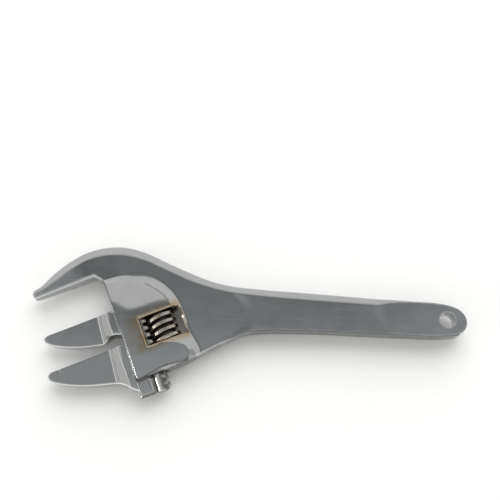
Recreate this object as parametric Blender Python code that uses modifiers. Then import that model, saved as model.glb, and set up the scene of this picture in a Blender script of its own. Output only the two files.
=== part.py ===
"""Adjustable wrench with two quick-change jaws.

One drop-forged body carries the handle, the fixed jaw and the head. Both loose jaws slide in one
channel across the head, on round racks that mesh with a worm. The worm turns on an axle whose ends
sit in pockets in the window's end walls, where two springs hold it against the racks. Pulling the
worm straight back, towards the handle, frees the jaws.

Everything on the head is placed in the head frame: reach u runs along the channel, away from the
fixed jaw's gripping face, and depth v runs into the head, from its front face towards the handle.
"""

import math

import bmesh
import bpy
from mathutils import Matrix, Vector

MM = 0.001

# Body
OVERALL_LENGTH = 228.6 * MM
THICKNESS = 9.14 * MM
HEAD_THICKNESS = 14.0 * MM
HEAD_ANGLE = math.radians(25.0)
HANDLE_AXIS_Y = -14.1 * MM
HANDLE_END_HALF_WIDTH = 8.7 * MM
JAW_TIP_X = -36.2 * MM
HEAD_ORIGIN = Vector((-0.9 * MM, -0.4 * MM, 0.0))
HEAD_REACH = 61.0 * MM
HEAD_DEPTH = 34.0 * MM
THROAT_CHAMFER = 4.2 * MM
FIXED_JAW_DEPTH = 37.66 * MM
FIXED_JAW_TIP_HALF_THICKNESS = 3.0 * MM
FIXED_JAW_TAPER_START = 8.0 * MM
HANGING_HOLE_RADIUS = 4.1 * MM
HANGING_HOLE_FROM_END = 10.2 * MM
PLATE_SETBACK = 0.15 * MM
BEVEL_SLOPE = 0.36
# Cutters' sections are moved by this share of a step, so that none meets an edge of what it cuts.
SECTION_SHIFT = 0.4
# The far edge from the handle to the fixed jaw: x, y and the bevel's width there. A negative width
# keeps the bevel's cutter just clear of the edge.
FAR_EDGE = (
    (162.0, -4.9, -0.8), (155.0, -4.7, 1.5), (146.0, -4.5, 3.6), (128.0, -4.05, 4.1),
    (110.0, -3.6, 4.1), (84.0, -3.1, 3.9), (68.0, -2.2, 3.7), (57.2, -0.1, 3.8),
    (46.2, 3.6, 4.2), (32.8, 8.8, 4.1), (22.0, 13.2, 4.4), (9.3, 15.9, 4.9), (-0.3, 15.0, 4.9),
    (-9.7, 11.8, 4.7), (-18.6, 6.1, 4.5), (-27.1, -2.0, 3.9), (-32.5, -8.7, 2.2),
    (-35.2, -12.6, -0.8),
)

# Channel across the head
ROD_DEPTH = 11.1 * MM
ROD_RADIUS = 4.1 * MM
BORE_RADIUS = 4.4 * MM
BORE_END_REACH = 9.9 * MM
SLOT_HALF_WIDTH = 2.8 * MM
WEB_HALF_WIDTH = 2.5 * MM
SLIDING_GAP = 0.3 * MM

# Window and worm
WINDOW_REACH = (31.0 * MM, 46.5 * MM)
WINDOW_DEPTH = (10.4 * MM, 32.0 * MM)
WORM_DEPTH = 21.2 * MM
WORM_RADIUS = 7.7 * MM
WORM_ROOT_RADIUS = 5.4 * MM
WORM_LENGTH = 14.7 * MM
WORM_END_CHAMFER = 0.6 * MM
THREAD_PITCH = 3.85 * MM
THREAD_CREST = 1.2 * MM
FLANK_SLOPE = 0.268
FLANK_CLEARANCE = 0.2 * MM
AXLE_RADIUS = 2.0 * MM
AXLE_CLEARANCE = 0.15 * MM
AXLE_END_GAP = 0.4 * MM
AXLE_END_CHAMFER = 0.3 * MM
POCKET_LENGTH = 4.1 * MM
POCKET_HALF_WIDTH = 2.2 * MM
POCKET_DEPTH = (18.9 * MM, 31.0 * MM)
SPRING_WIRE = 0.5 * MM
SPRING_DIAMETER = 3.6 * MM
SPRING_TURNS = 6

# Racks
RACK_TIP_DEPTH = 15.0 * MM
RACK_ROOT_DEPTH = 13.1 * MM
RACK_FIRST_TOOTH = 40.35 * MM

# Loose jaws
LARGE_JAW_REACH = 21.2 * MM
SMALL_JAW_REACH = 40.2 * MM
LARGE_ROD = (10.2 * MM, 41.6 * MM)
SMALL_ROD = (42.0 * MM, 69.7 * MM)
BLADE_TIP_HALF_THICKNESS = 2.3 * MM
BLADE_ROOT_HALF_THICKNESS = 3.1 * MM
BLADE_ROOT_DEPTH = 10.0 * MM
SHANK_DEPTH = 4.3 * MM

# The row's origin is the middle of the underside of the whole wrench's box.
BOX_CENTRE = Vector((78.1 * MM, -23.942 * MM, -7.7 * MM))

WINDOW_MIDDLE = sum(WINDOW_REACH) / 2
TOP_POCKET_MIDDLE = WINDOW_REACH[0] - POCKET_LENGTH / 2
LOW_POCKET_MIDDLE = WINDOW_REACH[1] + POCKET_LENGTH / 2
THROUGH = 20 * MM
CIRCLE_STEPS = 40
SHARP_ANGLE = math.radians(15)

CHROME = (0.63, 0.64, 0.64)
NICKEL = (0.60, 0.58, 0.53)
STEEL = (0.45, 0.45, 0.45)


def clear_scene():
    for old in list(bpy.data.objects):
        bpy.data.objects.remove(old, do_unlink=True)


def new_collection(name, cutters=False):
    made = bpy.data.collections.new(name)
    bpy.context.scene.collection.children.link(made)
    made.hide_render = cutters
    return made


def new_material(name, colour, roughness):
    made = bpy.data.materials.new(name)
    made.use_nodes = True
    shader = made.node_tree.nodes["Principled BSDF"]
    shader.inputs["Base Color"].default_value = (*colour, 1.0)
    shader.inputs["Metallic"].default_value = 1.0
    shader.inputs["Roughness"].default_value = roughness
    return made


def in_wrench(reach, depth):
    """A point of the head frame, in the wrench's own plane."""
    sine, cosine = math.sin(HEAD_ANGLE), math.cos(HEAD_ANGLE)
    return (
        HEAD_ORIGIN.x + reach * sine + depth * cosine,
        HEAD_ORIGIN.y - reach * cosine + depth * sine,
    )


def add_mesh(name, mesh, parent, cutter=False):
    made = bpy.data.objects.new(name, mesh)
    (cutters if cutter else wrench).objects.link(made)
    made.parent = parent
    if cutter:
        made.hide_render = True
        made.display_type = "WIRE"
    return made


def mesh_of(build):
    """A mesh of triangles, so that no face of a cutter is bent."""
    mesh = bpy.data.meshes.new("shape")
    bm = bmesh.new()
    build(bm)
    bmesh.ops.triangulate(bm, faces=bm.faces[:])
    bmesh.ops.recalc_face_normals(bm, faces=bm.faces[:])
    bm.to_mesh(mesh)
    bm.free()
    return mesh


def outline_mesh(points, half_thickness, resolution=6):
    """A flat outline thickened both ways. Each point is x, y and True where the outline is smooth."""
    curve = bpy.data.curves.new("outline", "CURVE")
    curve.dimensions = "2D"
    curve.fill_mode = "BOTH"
    curve.resolution_u = resolution
    curve.extrude = half_thickness
    spline = curve.splines.new("BEZIER")
    spline.bezier_points.add(len(points) - 1)
    spline.use_cyclic_u = True
    for point, (x, y, smooth) in zip(spline.bezier_points, points):
        point.co = (x, y, 0.0)
        point.handle_left_type = point.handle_right_type = "AUTO" if smooth else "VECTOR"
    holder = bpy.data.objects.new("outline", curve)
    wrench.objects.link(holder)
    bpy.context.view_layer.update()
    graph = bpy.context.evaluated_depsgraph_get()
    mesh = bpy.data.meshes.new_from_object(holder.evaluated_get(graph))
    bpy.data.objects.remove(holder, do_unlink=True)
    bm = bmesh.new()
    bm.from_mesh(mesh)
    bmesh.ops.remove_doubles(bm, verts=bm.verts[:], dist=1e-6)
    bmesh.ops.recalc_face_normals(bm, faces=bm.faces[:])
    bm.to_mesh(mesh)
    bm.free()
    return mesh


def head_outline(points, half_thickness):
    """An outline given as reach, depth and smooth, in the head frame's own axes."""
    return outline_mesh([(depth, -reach, smooth) for reach, depth, smooth in points], half_thickness)


def box_mesh(reach, depth, half_height):
    """A box between two reaches and two depths, in the head frame's own axes."""
    size = (depth[1] - depth[0], reach[1] - reach[0], 2 * half_height)
    middle = (sum(depth) / 2, -sum(reach) / 2, 0.0)

    def build(bm):
        matrix = Matrix.Translation(middle) @ Matrix.Diagonal((*size, 1.0))
        bmesh.ops.create_cube(bm, size=1.0, matrix=matrix)

    return mesh_of(build)


def rod_mesh(radius, reach, depth, steps=CIRCLE_STEPS):
    """A round bar along the channel."""
    middle = (depth, -sum(reach) / 2, 0.0)

    def build(bm):
        matrix = Matrix.Translation(middle) @ Matrix.Rotation(math.pi / 2, 4, "X")
        bmesh.ops.create_cone(
            bm, cap_ends=True, segments=steps, radius1=radius, radius2=radius,
            depth=reach[1] - reach[0], matrix=matrix,
        )

    return mesh_of(build)


def apply_boolean(target, operation, others):
    for other in others:
        modifier = target.modifiers.new(other.name, "BOOLEAN")
        modifier.operation = operation
        modifier.solver = "EXACT"
        modifier.object = other


def smooth_shading(obj):
    obj.data.shade_smooth()
    obj.data.set_sharp_from_angle(angle=SHARP_ANGLE)


def finish(obj, material):
    obj.data.materials.clear()
    obj.data.materials.append(material)


def body_outline():
    """The forging seen from above: fixed jaw, head and handle, starting at the throat."""
    end_x = JAW_TIP_X + OVERALL_LENGTH
    end_y = HANDLE_AXIS_Y
    half = HANDLE_END_HALF_WIDTH
    head_face = [
        (*in_wrench(THROAT_CHAMFER, 0.0), False),
        (*in_wrench(HEAD_REACH, 0.0), False),
        (*in_wrench(HEAD_REACH - 1.5 * MM, HEAD_DEPTH), True),
    ]
    lower_edge = [
        (x * MM, y * MM, True)
        for x, y in (
            (60.0, -36.6), (69.8, -31.0), (76.5, -27.6), (85.3, -25.9), (102.0, -24.8), (160.0, -23.5),
        )
    ]
    end = [
        (end_x - 12.5 * MM, end_y - half, True),
        (end_x - 2.4 * MM, end_y - 0.75 * half, True),
        (end_x, end_y - 0.15 * half, True),
        (end_x - 3.6 * MM, end_y + 0.66 * half, True),
        (end_x - 13.5 * MM, end_y + half, True),
    ]
    upper_edge = [
        (x * MM, y * MM, True)
        for x, y in (
            (158.0, -4.8), (110.0, -3.6), (84.0, -3.1), (68.0, -2.2), (57.2, -0.1), (46.2, 3.6),
            (32.8, 8.8), (22.0, 13.2), (9.3, 15.9), (-0.3, 15.0), (-9.7, 11.8), (-18.6, 6.1),
            (-27.1, -2.0), (-32.5, -8.7),
        )
    ]
    jaw = [
        (*in_wrench(-3.9 * MM, -FIXED_JAW_DEPTH + 0.7 * MM), True),
        (*in_wrench(-2.0 * MM, -FIXED_JAW_DEPTH), True),
        (*in_wrench(-0.5 * MM, -FIXED_JAW_DEPTH + 0.7 * MM), True),
        (*in_wrench(0.0, -FIXED_JAW_DEPTH + 2.5 * MM), False),
        (*in_wrench(0.0, -THROAT_CHAMFER), False),
    ]
    return head_face + lower_edge + end + upper_edge + jaw


def plate_mesh():
    """The raised plate on both faces of the head: a flat top, and slopes down to the body."""
    top_ring = [
        (6.8, 0.0), (7.3, 5.5), (8.6, 12.0), (12.3, 18.3), (17.0, 22.6), (23.2, 26.6),
        (29.5, 28.6), (38.0, 29.3), (48.0, 29.4), (57.8, 28.9), (60.6, 0.0),
    ]
    foot_ring = [
        (4.6, 0.0), (3.7, 5.0), (4.6, 12.5), (7.4, 20.2), (12.6, 26.6), (19.7, 31.0),
        (27.0, 33.2), (36.0, 33.8), (47.0, 33.8), (58.8, 33.8), (60.7, 0.0),
    ]
    foot_height = THICKNESS / 2 - 0.3 * MM
    levels = (
        (foot_ring, -foot_height),
        (foot_ring, foot_height),
        (top_ring, HEAD_THICKNESS / 2),
    )
    lower = ((top_ring, -HEAD_THICKNESS / 2),)

    def build(bm):
        rings = []
        for ring, height in lower + levels:
            rings.append([
                bm.verts.new((max(depth * MM, PLATE_SETBACK), -reach * MM, height))
                for reach, depth in ring
            ])
        for under, over in zip(rings, rings[1:]):
            for i in range(len(under)):
                j = (i + 1) % len(under)
                bm.faces.new((under[i], under[j], over[j], over[i]))
        bm.faces.new(rings[0])
        bm.faces.new(rings[-1])

    return mesh_of(build)


def thin_tip_mesh(reach, tip_depth, tip_half, root_depth, root_half, side):
    """A wedge that thins a jaw from its root to its tip, on the side given as 1 or -1."""
    beyond = 3 * MM
    run = tip_depth - root_depth
    fall = (root_half - tip_half) / run

    def build(bm):
        ends = []
        for at in reach:
            ends.append([
                bm.verts.new((-depth, -at, side * height))
                for depth, height in (
                    (root_depth - beyond, root_half + fall * beyond),
                    (tip_depth + beyond, tip_half - fall * beyond),
                    (tip_depth + beyond, THROUGH / 2),
                    (root_depth - beyond, THROUGH / 2),
                )
            ])
        for i in range(4):
            j = (i + 1) % 4
            bm.faces.new((ends[0][i], ends[0][j], ends[1][j], ends[1][i]))
        bm.faces.new(ends[0])
        bm.faces.new(ends[1])

    return mesh_of(build)


def bevel_mesh(side):
    """Slopes the far edge of the forging down to its outline, on the side given as 1 or -1."""
    beyond = 3 * MM
    over = 1 * MM
    half = THICKNESS / 2
    pieces_per_span = 4
    stations = [Vector((x, y, width)) * MM for x, y, width in FAR_EDGE]
    path = []
    for i in range(len(stations) - 1):
        before, after = stations[max(i - 1, 0)], stations[min(i + 2, len(stations) - 1)]
        here, there = stations[i], stations[i + 1]
        for k in range(pieces_per_span):
            t = (k + SECTION_SHIFT) / pieces_per_span
            path.append(
                0.5 * (
                    2 * here + (there - before) * t
                    + (2 * before - 5 * here + 4 * there - after) * t**2
                    + (3 * here - before - 3 * there + after) * t**3
                )
            )
    path.append(stations[-1])

    def build(bm):
        rings = []
        for i, (x, y, width) in enumerate(path):
            along = path[min(i + 1, len(path) - 1)] - path[max(i - 1, 0)]
            out = Vector((along.y, -along.x)).normalized()
            rings.append([
                bm.verts.new((x + out.x * away, y + out.y * away, side * height))
                for away, height in (
                    (-width - over, half + BEVEL_SLOPE * over),
                    (beyond, half - BEVEL_SLOPE * (width + beyond)),
                    (beyond, THROUGH / 2),
                    (-width - over, THROUGH / 2),
                )
            ])
        for here, there in zip(rings, rings[1:]):
            for i in range(4):
                j = (i + 1) % 4
                bm.faces.new((here[i], here[j], there[j], there[i]))
        bm.faces.new(rings[0])
        bm.faces.new(rings[-1])

    return mesh_of(build)


def build_body():
    body = add_mesh("body", outline_mesh(body_outline(), THICKNESS / 2), row)
    plate = add_mesh("head_plate", plate_mesh(), head, cutter=True)
    reach_out = HEAD_REACH + 10 * MM
    bore = add_mesh(
        "channel_bore", rod_mesh(BORE_RADIUS, (BORE_END_REACH, reach_out), ROD_DEPTH), head, cutter=True
    )
    slot = add_mesh(
        "channel_slot",
        box_mesh((BORE_END_REACH, reach_out), (-5 * MM, ROD_DEPTH), SLOT_HALF_WIDTH),
        head,
        cutter=True,
    )
    window = add_mesh("window_cut", box_mesh(WINDOW_REACH, WINDOW_DEPTH, THROUGH / 2), head, cutter=True)
    pocket_reach = (WINDOW_REACH[0] - POCKET_LENGTH, WINDOW_REACH[1] + POCKET_LENGTH)
    pockets = add_mesh(
        "axle_pockets", box_mesh(pocket_reach, POCKET_DEPTH, POCKET_HALF_WIDTH), head, cutter=True
    )
    end_x = JAW_TIP_X + OVERALL_LENGTH

    def drill(bm):
        place = Matrix.Translation((end_x - HANGING_HOLE_FROM_END, HANDLE_AXIS_Y, 0.0))
        bmesh.ops.create_cone(
            bm, cap_ends=True, segments=CIRCLE_STEPS, radius1=HANGING_HOLE_RADIUS,
            radius2=HANGING_HOLE_RADIUS, depth=THROUGH, matrix=place,
        )

    hole = add_mesh("hanging_hole", mesh_of(drill), row, cutter=True)
    thinning = [
        add_mesh(
            name,
            thin_tip_mesh(
                (-20 * MM, 2 * MM), FIXED_JAW_DEPTH, FIXED_JAW_TIP_HALF_THICKNESS,
                FIXED_JAW_TAPER_START, THICKNESS / 2, side,
            ),
            head,
            cutter=True,
        )
        for name, side in (("jaw_thinning_top", 1), ("jaw_thinning_under", -1))
    ]
    bevels = [
        add_mesh(name, bevel_mesh(side), row, cutter=True)
        for name, side in (("far_bevel_top", 1), ("far_bevel_under", -1))
    ]
    apply_boolean(body, "DIFFERENCE", bevels)
    apply_boolean(body, "UNION", [plate])
    apply_boolean(body, "DIFFERENCE", [bore, slot, window, pockets, hole] + thinning)
    finish(body, chrome)
    return body


def blade_profile_mesh(reach, tip_depth):
    """A jaw seen from its end: a thin blade, a slope, and a shank as thick as the body."""
    shank = THICKNESS / 2
    beyond = 2 * MM
    steps = (
        (-tip_depth - beyond, BLADE_TIP_HALF_THICKNESS),
        (-BLADE_ROOT_DEPTH, BLADE_ROOT_HALF_THICKNESS),
        (-SHANK_DEPTH, shank),
        (beyond, shank),
    )

    def build(bm):
        ends = []
        for at in reach:
            upper = [bm.verts.new((depth, -at, height)) for depth, height in steps]
            lower = [bm.verts.new((depth, -at, -height)) for depth, height in reversed(steps)]
            ends.append(upper + lower)
        count = len(ends[0])
        for i in range(count):
            j = (i + 1) % count
            bm.faces.new((ends[0][i], ends[0][j], ends[1][j], ends[1][i]))
        bm.faces.new(ends[0])
        bm.faces.new(ends[1])

    return mesh_of(build)


def rack_cutters(name, jaw, face_reach, rod_reach):
    """One slanted groove between each pair of teeth, and the flat that the tooth tips end on."""
    slant = math.atan(THREAD_PITCH / (2 * math.pi * (WORM_RADIUS - 0.7 * MM)))
    mid_depth = WORM_DEPTH - WORM_RADIUS
    mid_width = THREAD_CREST + 2 * FLANK_CLEARANCE
    top_depth = ROD_DEPTH + ROD_RADIUS + 1 * MM
    widths = [
        mid_width + 2 * FLANK_SLOPE * (depth - mid_depth) for depth in (RACK_ROOT_DEPTH, top_depth)
    ]
    half_height = 6 * MM
    first = RACK_FIRST_TOOTH + THREAD_PITCH / 2
    while first > rod_reach[0] - THREAD_PITCH:
        first -= THREAD_PITCH

    def build(bm):
        groove = first
        while groove < rod_reach[1] + THREAD_PITCH:
            rows = []
            for height in (-half_height, half_height):
                shift = math.tan(slant) * height
                centre = -(groove - face_reach) + shift
                rows.append([
                    bm.verts.new((depth - ROD_DEPTH, centre + across * width / 2, height))
                    for depth, width, across in (
                        (RACK_ROOT_DEPTH, widths[0], -1),
                        (RACK_ROOT_DEPTH, widths[0], 1),
                        (top_depth, widths[1], 1),
                        (top_depth, widths[1], -1),
                    )
                ])
            for i in range(4):
                j = (i + 1) % 4
                bm.faces.new((rows[0][i], rows[0][j], rows[1][j], rows[1][i]))
            bm.faces.new(rows[0])
            bm.faces.new(rows[1])
            groove += THREAD_PITCH

    grooves = add_mesh(name + "_grooves", mesh_of(build), jaw, cutter=True)
    reach = (rod_reach[0] - face_reach - 5 * MM, rod_reach[1] - face_reach + 5 * MM)
    depth = (RACK_TIP_DEPTH - ROD_DEPTH, RACK_TIP_DEPTH - ROD_DEPTH + 3 * MM)
    tips = add_mesh(name + "_tips", box_mesh(reach, depth, half_height), jaw, cutter=True)
    return [tips, grooves]


def build_jaw(name, face_reach, tip_depth, outline, web_reach, rod_reach):
    """A loose jaw. Its origin is on its rack's axis, level with its gripping face."""
    shifted = [(reach, depth - ROD_DEPTH, smooth) for reach, depth, smooth in outline]
    jaw = add_mesh(name, head_outline(shifted, THICKNESS), head)
    jaw.location = (ROD_DEPTH, -face_reach, 0.0)
    side = add_mesh(name + "_side", blade_profile_mesh((-10 * MM, 40 * MM), tip_depth), jaw, cutter=True)
    side.location.x = -ROD_DEPTH
    web = add_mesh(
        name + "_web", box_mesh(web_reach, (-1.3 * MM - ROD_DEPTH, 0.0), WEB_HALF_WIDTH), jaw, cutter=True
    )
    ends = [reach - face_reach for reach in rod_reach]
    rod = add_mesh(name + "_rod", rod_mesh(ROD_RADIUS, ends, 0.0), jaw, cutter=True)
    apply_boolean(jaw, "INTERSECT", [side])
    apply_boolean(jaw, "UNION", [web, rod])
    apply_boolean(jaw, "DIFFERENCE", rack_cutters(name, jaw, face_reach, rod_reach))
    finish(jaw, nickel)
    return jaw


def outline_points(corners):
    return [(reach * MM, depth * MM, smooth) for reach, depth, smooth in corners]


def build_jaws():
    gap = -SLIDING_GAP / MM
    build_jaw(
        "jaw_large_opening",
        LARGE_JAW_REACH,
        39.4 * MM,
        outline_points([
            (1.3, gap, False), (0.0, -2.0, False), (0.0, -36.6, False), (0.4, -38.5, True),
            (1.6, -39.4, True), (3.4, -38.6, True), (5.4, -36.7, True), (8.8, -31.2, True),
            (11.4, -25.4, True), (13.6, -19.0, True), (15.1, -13.0, True), (15.5, -10.6, True),
            (14.7, -8.6, True), (13.2, -6.6, True), (12.8, -4.6, True), (13.2, -2.6, True),
            (14.2, gap, False),
        ]),
        (2.0 * MM, 13.6 * MM),
        LARGE_ROD,
    )
    build_jaw(
        "jaw_small_opening",
        SMALL_JAW_REACH,
        43.0 * MM,
        outline_points([
            (1.3, gap, False), (0.0, -2.0, False), (0.0, -40.2, False), (0.4, -42.0, True),
            (1.8, -43.0, True), (4.1, -42.0, True), (6.4, -39.4, True), (11.0, -31.2, True),
            (13.4, -25.4, True), (15.3, -19.6, True), (17.0, -13.7, True), (18.1, -10.2, True),
            (19.0, -8.6, True), (21.0, -6.3, True), (23.2, -4.5, True), (26.6, gap, False),
        ]),
        (2.0 * MM, 29.2 * MM),
        SMALL_ROD,
    )


def turned_mesh(profile, name):
    """A profile of radius and height, turned about Z with a Screw modifier."""
    mesh = bpy.data.meshes.new(name)
    points = [(radius, 0.0, height) for radius, height in profile]
    mesh.from_pydata(points, [(i, i + 1) for i in range(len(points) - 1)], [])
    return mesh


def add_turned(name, profile, parent, steps=CIRCLE_STEPS, cutter=False):
    made = add_mesh(name, turned_mesh(profile, name), parent, cutter)
    screw = made.modifiers.new("turned", "SCREW")
    screw.steps = screw.render_steps = steps
    screw.use_merge_vertices = True
    screw.merge_threshold = 0.00001
    return made


def thread_mesh(phase):
    """The helical ridge, longer than the worm at both ends. Local Z is the worm's axis."""
    base_radius = WORM_ROOT_RADIUS - 0.6 * MM
    base_half = THREAD_CREST / 2 + FLANK_SLOPE * (WORM_RADIUS - base_radius)
    over_radius = WORM_RADIUS + 0.5 * MM
    over_half = THREAD_CREST / 2 - FLANK_SLOPE * (over_radius - WORM_RADIUS)
    turns = 6
    steps = turns * CIRCLE_STEPS
    first_angle = SECTION_SHIFT * 2 * math.pi / CIRCLE_STEPS
    start = phase + (first_angle / (2 * math.pi) - turns / 2) * THREAD_PITCH
    turned = (math.cos(first_angle), math.sin(first_angle))

    def build(bm):
        corners = [
            bm.verts.new((radius * turned[0], radius * turned[1], start + half))
            for radius, half in (
                (base_radius, -base_half), (over_radius, -over_half),
                (over_radius, over_half), (base_radius, base_half),
            )
        ]
        bm.faces.new(corners)
        bmesh.ops.spin(
            bm, geom=bm.verts[:] + bm.edges[:] + bm.faces[:], cent=(0, 0, 0), axis=(0, 0, 1),
            dvec=(0, 0, THREAD_PITCH / CIRCLE_STEPS), angle=turns * 2 * math.pi, steps=steps,
        )

    return mesh_of(build)


def build_worm():
    """The worm, its axle and their shared empty on the worm's axis, which points along the channel."""
    centre = bpy.data.objects.new("worm_centre", None)
    wrench.objects.link(centre)
    centre.parent = head
    centre.location = (WORM_DEPTH, -WINDOW_MIDDLE, 0.0)
    centre.rotation_euler = (math.pi / 2, 0.0, 0.0)
    half = WORM_LENGTH / 2
    groove_phase = RACK_FIRST_TOOTH + THREAD_PITCH / 2 - WINDOW_MIDDLE
    worm = add_turned(
        "worm_screw",
        [(0.0, half), (WORM_ROOT_RADIUS, half), (WORM_ROOT_RADIUS, -half), (0.0, -half)],
        centre,
    )
    thread = add_mesh("worm_thread", thread_mesh(groove_phase - THREAD_PITCH / 2), centre, cutter=True)
    edge = WORM_END_CHAMFER
    face = half - 0.02 * MM
    envelope = add_turned(
        "worm_envelope",
        [
            (0.0, face), (WORM_RADIUS - edge, face), (WORM_RADIUS, half - edge),
            (WORM_RADIUS, edge - half), (WORM_RADIUS - edge, -face), (0.0, -face),
        ],
        centre,
        steps=2 * CIRCLE_STEPS,
        cutter=True,
    )
    bore = AXLE_RADIUS + AXLE_CLEARANCE
    hole = add_turned(
        "worm_bore",
        [(0.0, 2 * half), (bore, 2 * half), (bore, -2 * half), (0.0, -2 * half)],
        centre,
        cutter=True,
    )
    apply_boolean(worm, "UNION", [thread])
    apply_boolean(worm, "INTERSECT", [envelope])
    apply_boolean(worm, "DIFFERENCE", [hole])
    finish(worm, nickel)
    end = WINDOW_REACH[1] + POCKET_LENGTH - AXLE_END_GAP - WINDOW_MIDDLE
    edge = AXLE_END_CHAMFER
    axle = add_turned(
        "worm_axle",
        [
            (0.0, end), (AXLE_RADIUS - edge, end), (AXLE_RADIUS, end - edge),
            (AXLE_RADIUS, edge - end), (AXLE_RADIUS - edge, -end), (0.0, -end),
        ],
        centre,
    )
    finish(axle, steel)


def build_spring(name, reach):
    """A return spring behind one end of the axle, pressed along the head's depth."""
    front = WORM_DEPTH + AXLE_RADIUS + SLIDING_GAP + SPRING_WIRE / 2
    back = POCKET_DEPTH[1] - SLIDING_GAP - SPRING_WIRE / 2
    points_per_turn = 12
    count = SPRING_TURNS * points_per_turn
    radius = (SPRING_DIAMETER - SPRING_WIRE) / 2
    curve = bpy.data.curves.new(name, "CURVE")
    curve.dimensions = "3D"
    curve.bevel_depth = SPRING_WIRE / 2
    curve.bevel_resolution = 1
    curve.use_fill_caps = True
    spline = curve.splines.new("POLY")
    spline.points.add(count)
    for i, point in enumerate(spline.points):
        angle = 2 * math.pi * i / points_per_turn
        along = front + (back - front) * i / count
        point.co = (along, radius * math.cos(angle), radius * math.sin(angle), 1.0)
    spring = bpy.data.objects.new(name, curve)
    wrench.objects.link(spring)
    spring.parent = head
    spring.location.y = -reach
    finish(spring, steel)


clear_scene()
wrench = new_collection("adjustable_wrench")
cutters = new_collection("cutters", cutters=True)
chrome = new_material("chrome_body", CHROME, 0.12)
nickel = new_material("nickel_jaws", NICKEL, 0.18)
steel = new_material("plain_steel", STEEL, 0.35)

row = bpy.data.objects.new("row_frame", None)
row.location = -BOX_CENTRE
wrench.objects.link(row)
head = bpy.data.objects.new("head_frame", None)
head.parent = row
head.location = HEAD_ORIGIN
head.rotation_euler.z = HEAD_ANGLE
wrench.objects.link(head)

build_body()
build_jaws()
build_worm()
build_spring("upper_return_spring", TOP_POCKET_MIDDLE)
build_spring("lower_return_spring", LOW_POCKET_MIDDLE)
for part in wrench.objects:
    if part.type == "MESH":
        smooth_shading(part)
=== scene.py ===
import math

import bmesh
import bpy
import numpy as np
from mathutils import Matrix, Vector, geometry


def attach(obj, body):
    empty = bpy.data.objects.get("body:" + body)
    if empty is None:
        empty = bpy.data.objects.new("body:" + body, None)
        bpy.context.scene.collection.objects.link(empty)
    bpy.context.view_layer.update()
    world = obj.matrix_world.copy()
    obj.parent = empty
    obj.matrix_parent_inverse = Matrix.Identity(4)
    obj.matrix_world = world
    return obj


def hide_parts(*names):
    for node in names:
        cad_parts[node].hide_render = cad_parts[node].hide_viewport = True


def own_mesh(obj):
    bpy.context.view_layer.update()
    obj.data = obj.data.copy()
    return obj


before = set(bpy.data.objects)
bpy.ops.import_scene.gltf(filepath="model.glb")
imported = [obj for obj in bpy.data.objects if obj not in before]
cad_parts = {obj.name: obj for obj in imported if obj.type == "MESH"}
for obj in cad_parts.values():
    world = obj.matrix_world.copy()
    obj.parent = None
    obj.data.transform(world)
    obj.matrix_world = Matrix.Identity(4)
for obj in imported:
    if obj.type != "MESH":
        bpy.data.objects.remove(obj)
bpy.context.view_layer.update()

# Lengths are in millimetres until a mesh is made. Two frames are used before the row frame:
# the wrench's own plane (x along the handle, y across it, z up from mid thickness), and the head
# frame (reach u along the channel, away from the fixed jaw's face; depth v into the head).
MM = 0.001
ROW_CENTRE = np.array((78.1, -23.942, -7.7))
HEAD_ORIGIN = np.array((-0.9, -0.4))
HEAD_ANGLE = math.radians(25.0)
U_AXIS = np.array((math.sin(HEAD_ANGLE), -math.cos(HEAD_ANGLE)))
V_AXIS = np.array((math.cos(HEAD_ANGLE), math.sin(HEAD_ANGLE)))
U_3D, V_3D, Z_3D = np.array((*U_AXIS, 0.0)), np.array((*V_AXIS, 0.0)), np.array((0.0, 0.0, 1.0))

# Heights are from mid thickness. A pair is the least and the greatest reach or depth.
FLAT = 4.57
BLADE_HEIGHT = 3.1
PLATE_TOP = 7.0
CHANNEL_DEPTH = 11.1
CHANNEL_START = 9.9
PAST_HEAD = 75.0
ROD_RADIUS = 4.1
BORE_RADIUS = 4.4
SLOT_HALF = 2.8
WINDOW_REACH = (31.0, 46.5)
WINDOW_DEPTH = (10.4, 32.0)
POCKET_REACH = (26.9, 50.6)
POCKET_DEPTH = (18.9, 31.0)
POCKET_HALF = 2.2
WORM_REACH, WORM_DEPTH = 38.75, 21.2
WORM_LENGTH, WORM_RADIUS, WORM_ROOT, WORM_BORE = 14.7, 7.7, 5.4, 2.15
CREST_HALF, FLANK = 0.78, 0.268
CREST_NOTCHES = 44
PITCH = 3.85
RACK_FIRST_TOOTH = 40.35
RACK_ROOT = 13.1
RACK_SLANT = PITCH / (2 * math.pi * (WORM_RADIUS - 0.7))
AXLE_RADIUS, AXLE_HALF, AXLE_CHAMFER = 2.0, 11.45, 0.3
HOLE_CENTRE = np.array((182.2, -14.1))
HOLE_RADIUS = 4.1
SPRING_DEPTH = (23.75, 30.45)
SPRING_REACHES = (WINDOW_REACH[0] - 2.05, WINDOW_REACH[1] + 2.05)

# A loose jaw's ridge, where the blade's slope begins: gripping reach, depth there, slant.
LARGE_RIDGE = (21.2, -9.0, 0.08)
SMALL_RIDGE = (40.2, -8.7, 0.09)
SHANK_FOLD = -4.35


def in_wrench(u, v):
    return HEAD_ORIGIN + u * U_AXIS + v * V_AXIS


def in_head(xy):
    away = xy - HEAD_ORIGIN
    return away @ U_AXIS, away @ V_AXIS


def to_row(points):
    return (np.asarray(points, float) - ROW_CENTRE) * MM


def smin(a, b, k):
    """The smaller of two heights, rounded where they meet."""
    t = np.clip(0.5 + 0.5 * (b - a) / k, 0.0, 1.0)
    return b + (a - b) * t - k * t * (1.0 - t)


def smax(a, b, k):
    return -smin(-a, -b, k)


def step(x, low, high):
    t = np.clip((x - low) / (high - low), 0.0, 1.0)
    return t * t * (3.0 - 2.0 * t)


def line(distance, width):
    """A soft line: 1 at no distance, falling to nothing over about two widths."""
    return np.exp(-((distance / width) ** 2))


def ridge_depth(ridge, u):
    reach, depth, slant = ridge
    return depth - slant * (u - reach)


# ---------------------------------------------------------------- outlines

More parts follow.
